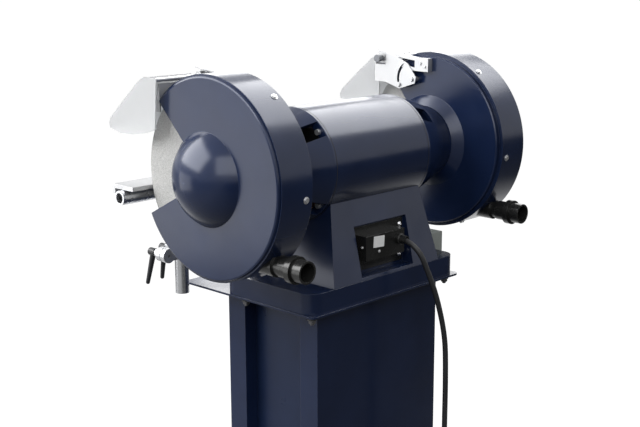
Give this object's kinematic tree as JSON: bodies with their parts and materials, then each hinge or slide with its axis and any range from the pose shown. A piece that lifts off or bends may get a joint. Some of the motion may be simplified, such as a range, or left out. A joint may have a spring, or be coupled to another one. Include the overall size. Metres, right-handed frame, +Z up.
{
  "type": "pedestal bench grinder",
  "caption": "Twin-wheel grinder on a box column: domed wheel guards, clear hinged eye shields, adjustable tool rests, rear dust spigots and a mains cord.",
  "frame": {"origin": "on the floor under the middle of the motor", "axes": "+Z up, shaft along X, the operator stands on the -Y side, cord and dust outlets on the +Y side"},
  "size_m": [0.812, 0.7, 1.197],
  "materials": {
    "paint": "gloss",
    "paint_dark": "gloss",
    "zinc": "bright zinc plate",
    "steel": "turned",
    "iron": "bare",
    "aluminium": "cast",
    "grit": "vitrified abrasive",
    "clear": "clear polycarbonate",
    "black_plastic": "satin",
    "grey_plastic": "satin",
    "green_plastic": "gloss",
    "red_plastic": "gloss",
    "rubber": "matt",
    "copper_iron": "laminated core and windings"
  },
  "bodies": {
    "stand": {"stand_core": "paint_dark", "column_front": "paint", "column_rear": "paint", "top_plate": "paint", "stand_bolts": "iron", "base_box": "paint", "motor_foot": "paint", "motor_shell": "paint", "stator": "copper_iron", "end_bell_r": "paint", "end_bell_l": "paint", "tie_bolts": "zinc", "bearings": "steel", "rear_panel": "black_plastic", "cable_box": "black_plastic", "cable_gland": "black_plastic", "cord": "rubber", "cord_coil": "rubber", "plug": "rubber", "switch_box": "grey_plastic", "guard_screws": "zinc", "guard_back_r": "paint", "guard_band_r": "paint", "guard_cover_r": "paint", "dust_outlet_r": "black_plastic", "shield_arm_r": "zinc", "rest_arm_r": "paint_dark", "guard_back_l": "paint", "guard_band_l": "paint", "guard_cover_l": "paint", "dust_outlet_l": "black_plastic", "shield_arm_l": "zinc", "rest_arm_l": "paint_dark"},
    "spindle": {"rotor": "iron", "shaft": "steel", "wheel_r": "grit", "wheel_l": "grit", "wheel_flanges_r": "iron", "wheel_flanges_l": "iron", "spindle_nuts": "steel"},
    "start_key": {"start_button": "green_plastic"},
    "stop_key": {"stop_button": "red_plastic"},
    "spark_r": {"spark_guard_r": "zinc"},
    "shield_r": {"shield_frame_r": "zinc", "eye_shield_r": "clear"},
    "knob_r": {"shield_knob_r": "black_plastic"},
    "clamp_r": {"rest_clamp_r": "aluminium"},
    "rest_r": {"rest_post_r": "steel", "rest_plate_r": "zinc"},
    "lever_a_r": {"lever_a_r": "black_plastic"},
    "lever_b_r": {"lever_b_r": "black_plastic"},
    "spark_l": {"spark_guard_l": "zinc"},
    "shield_l": {"shield_frame_l": "zinc", "eye_shield_l": "clear"},
    "knob_l": {"shield_knob_l": "black_plastic"},
    "clamp_l": {"rest_clamp_l": "aluminium"},
    "rest_l": {"rest_post_l": "steel", "rest_plate_l": "zinc"},
    "lever_a_l": {"lever_a_l": "black_plastic"},
    "lever_b_l": {"lever_b_l": "black_plastic"}
  },
  "joints": [
    {"name": "spindle_turn", "type": "hinge", "parent": "stand", "child": "spindle", "pos_m": [0, 0, 1.01], "axis": [1, 0, 0], "continuous": true},
    {"name": "spark_tilt_r", "type": "hinge", "parent": "stand", "child": "spark_r", "pos_m": [0.25, -0.034, 1.139], "axis": [1, 0, 0], "range_deg": [-2, 2]},
    {"name": "shield_lift_r", "type": "hinge", "parent": "stand", "child": "shield_r", "pos_m": [0.26, -0.121, 1.1795], "axis": [-1, 0, 0], "range_deg": [0, 70]},
    {"name": "knob_turn_r", "type": "hinge", "parent": "shield_r", "child": "knob_r", "pos_m": [0.245, -0.121, 1.1795], "axis": [1, 0, 0], "range_deg": [-180, 180]},
    {"name": "rest_reach_r", "type": "slide", "parent": "stand", "child": "clamp_r", "axis": [0, -1, 0], "range_m": [0, 0.04]},
    {"name": "rest_height_r", "type": "slide", "parent": "clamp_r", "child": "rest_r", "axis": [0, 0, 1], "range_m": [-0.04, 0.02]},
    {"name": "reach_lever_r", "type": "hinge", "parent": "clamp_r", "child": "lever_a_r", "pos_m": [0.288, -0.247, 0.823], "axis": [0, -1, 0], "range_deg": [0, 90]},
    {"name": "height_lever_r", "type": "hinge", "parent": "clamp_r", "child": "lever_b_r", "pos_m": [0.262, -0.245, 0.828], "axis": [0, 1, 0], "range_deg": [0, 60]},
    {"name": "spark_tilt_l", "type": "hinge", "parent": "stand", "child": "spark_l", "pos_m": [-0.25, -0.034, 1.139], "axis": [1, 0, 0], "range_deg": [-2, 2]},
    {"name": "shield_lift_l", "type": "hinge", "parent": "stand", "child": "shield_l", "pos_m": [-0.26, -0.121, 1.1795], "axis": [-1, 0, 0], "range_deg": [0, 70]},
    {"name": "knob_turn_l", "type": "hinge", "parent": "shield_l", "child": "knob_l", "pos_m": [-0.245, -0.121, 1.1795], "axis": [1, 0, 0], "range_deg": [-180, 180]},
    {"name": "rest_reach_l", "type": "slide", "parent": "stand", "child": "clamp_l", "axis": [0, -1, 0], "range_m": [0, 0.04]},
    {"name": "rest_height_l", "type": "slide", "parent": "clamp_l", "child": "rest_l", "axis": [0, 0, 1], "range_m": [-0.04, 0.02]},
    {"name": "reach_lever_l", "type": "hinge", "parent": "clamp_l", "child": "lever_a_l", "pos_m": [-0.288, -0.247, 0.823], "axis": [0, 1, 0], "range_deg": [0, 90]},
    {"name": "height_lever_l", "type": "hinge", "parent": "clamp_l", "child": "lever_b_l", "pos_m": [-0.262, -0.245, 0.828], "axis": [0, -1, 0], "range_deg": [0, 60]},
    {"name": "start_press", "type": "slide", "parent": "stand", "child": "start_key", "axis": [0, 1, 0], "range_m": [0, 0.003], "stiffness_N_per_m": 400},
    {"name": "stop_press", "type": "slide", "parent": "stand", "child": "stop_key", "axis": [0, 1, 0], "range_m": [0, 0.003], "stiffness_N_per_m": 400}
  ]
}
